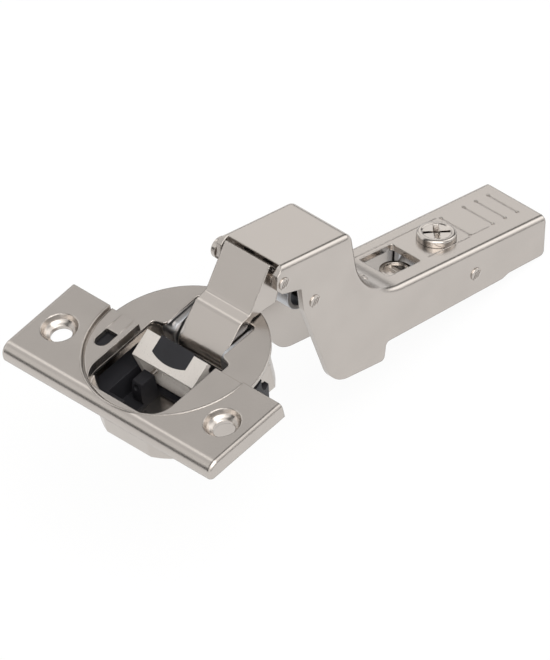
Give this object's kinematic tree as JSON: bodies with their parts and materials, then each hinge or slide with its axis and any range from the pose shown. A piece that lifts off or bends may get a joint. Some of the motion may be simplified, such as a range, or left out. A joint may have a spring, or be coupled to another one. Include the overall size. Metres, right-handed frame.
{
  "type": "concealed cup hinge",
  "caption": "Concealed cup hinge for an inset cabinet door, with screw-on cup, damped linkage and clip-on cranked arm, shown open.",
  "frame": {"origin": "where the cup's axis meets the face of the door that the cup is sunk into", "axes": "+Z out of the door's face, +X towards the door's hinged edge and the arm, +Y along the door's edge"},
  "size_m": [0.1079, 0.058, 0.0492],
  "materials": {
    "nickel_steel": "satin nickel plate on pressed steel",
    "bearing_steel": "zinc plated pressed steel, slightly grey",
    "pin_steel": "bright drawn steel",
    "spring_steel": "oiled spring wire",
    "screw_nickel": "bright nickel plate",
    "lever_zinc": "pale nickel plate on a zinc casting",
    "dark_plastic": "dark grey moulded plastic"
  },
  "bodies": {
    "cup_body": {"cup": "nickel_steel", "wing_plate": "nickel_steel", "link_bearing": "bearing_steel", "outer_link_pin": "pin_steel", "inner_link_pin": "pin_steel", "damper_housing": "dark_plastic", "lever_pin": "pin_steel", "side_case": "dark_plastic"},
    "outer_link": {"outer_link": "nickel_steel"},
    "inner_link": {"inner_link": "bearing_steel"},
    "arm": {"arm": "nickel_steel", "arm_front_pin": "pin_steel", "arm_rear_pin": "pin_steel", "closing_spring": "spring_steel", "clip_lever_pin": "pin_steel"},
    "damper_lever": {"damper_lever": "lever_zinc", "lever_insert": "dark_plastic"},
    "damper_rod": {"damper_rod": "pin_steel"},
    "damper_switch": {"damper_switch": "dark_plastic"},
    "carrier": {"carrier": "bearing_steel"},
    "depth_cam": {"depth_cam": "screw_nickel"},
    "side_screw": {"side_screw": "screw_nickel"},
    "clip_lever": {"clip_lever": "bearing_steel", "clip_spring": "spring_steel"}
  },
  "joints": [
    {"name": "door_swing", "type": "hinge", "parent": "cup_body", "child": "outer_link", "pos_m": [0.0082, 0, -0.0043], "axis": [0, -1, 0], "range_deg": [0, 129.1]},
    {"name": "arm_turn", "type": "hinge", "parent": "outer_link", "child": "arm", "pos_m": [0.02291, 0, 0.00575], "axis": [0, -1, 0], "range_deg": [-20.5, 0.2]},
    {"name": "inner_link_turn", "type": "hinge", "parent": "cup_body", "child": "inner_link", "pos_m": [0.0118, 0, -0.0031], "axis": [0, -1, 0], "range_deg": [-0.2, 142.6]},
    {"name": "damper_lever_turn", "type": "hinge", "parent": "cup_body", "child": "damper_lever", "pos_m": [-0.0015, 0, -0.0075], "axis": [0, -1, 0], "range_deg": [-0.2, 77.2]},
    {"name": "damper_rod_slide", "type": "slide", "parent": "cup_body", "child": "damper_rod", "axis": [-1, 0, 0], "range_m": [-0.00005, 0.00205]},
    {"name": "damper_switch_slide", "type": "slide", "parent": "cup_body", "child": "damper_switch", "axis": [1, 0, 0], "range_m": [0, 0.0015]},
    {"name": "depth_slide", "type": "slide", "parent": "arm", "child": "carrier", "axis": [0.9466, 0, -0.3223], "range_m": [-0.001, 0.001]},
    {"name": "depth_cam_turn", "type": "hinge", "parent": "carrier", "child": "depth_cam", "pos_m": [0.05537, 0, -0.02458], "axis": [0.3223, 0, 0.9466], "range_deg": [-45.2, 45.2]},
    {"name": "side_screw_turn", "type": "hinge", "parent": "carrier", "child": "side_screw", "pos_m": [0.067, 0, -0.02425], "axis": [0.3223, 0, 0.9466], "continuous": true},
    {"name": "clip_lever_press", "type": "hinge", "parent": "arm", "child": "clip_lever", "pos_m": [0.06802, 0, -0.0304], "axis": [0, -1, 0], "range_deg": [0, 12], "stiffness_Nm_per_rad": 0.02, "springref_deg": -11.46}
  ],
  "couplings": [
    {"joint": "arm_turn", "follows": "door_swing", "ratio": -0.15724},
    {"joint": "inner_link_turn", "follows": "door_swing", "ratio": 1.103},
    {"joint": "damper_lever_turn", "follows": "door_swing", "ratio": 0.59644},
    {"joint": "damper_rod_slide", "follows": "door_swing", "m_per_rad": 0.00088762},
    {"joint": "depth_cam_turn", "follows": "depth_slide", "rad_per_m": 785.4}
  ]
}
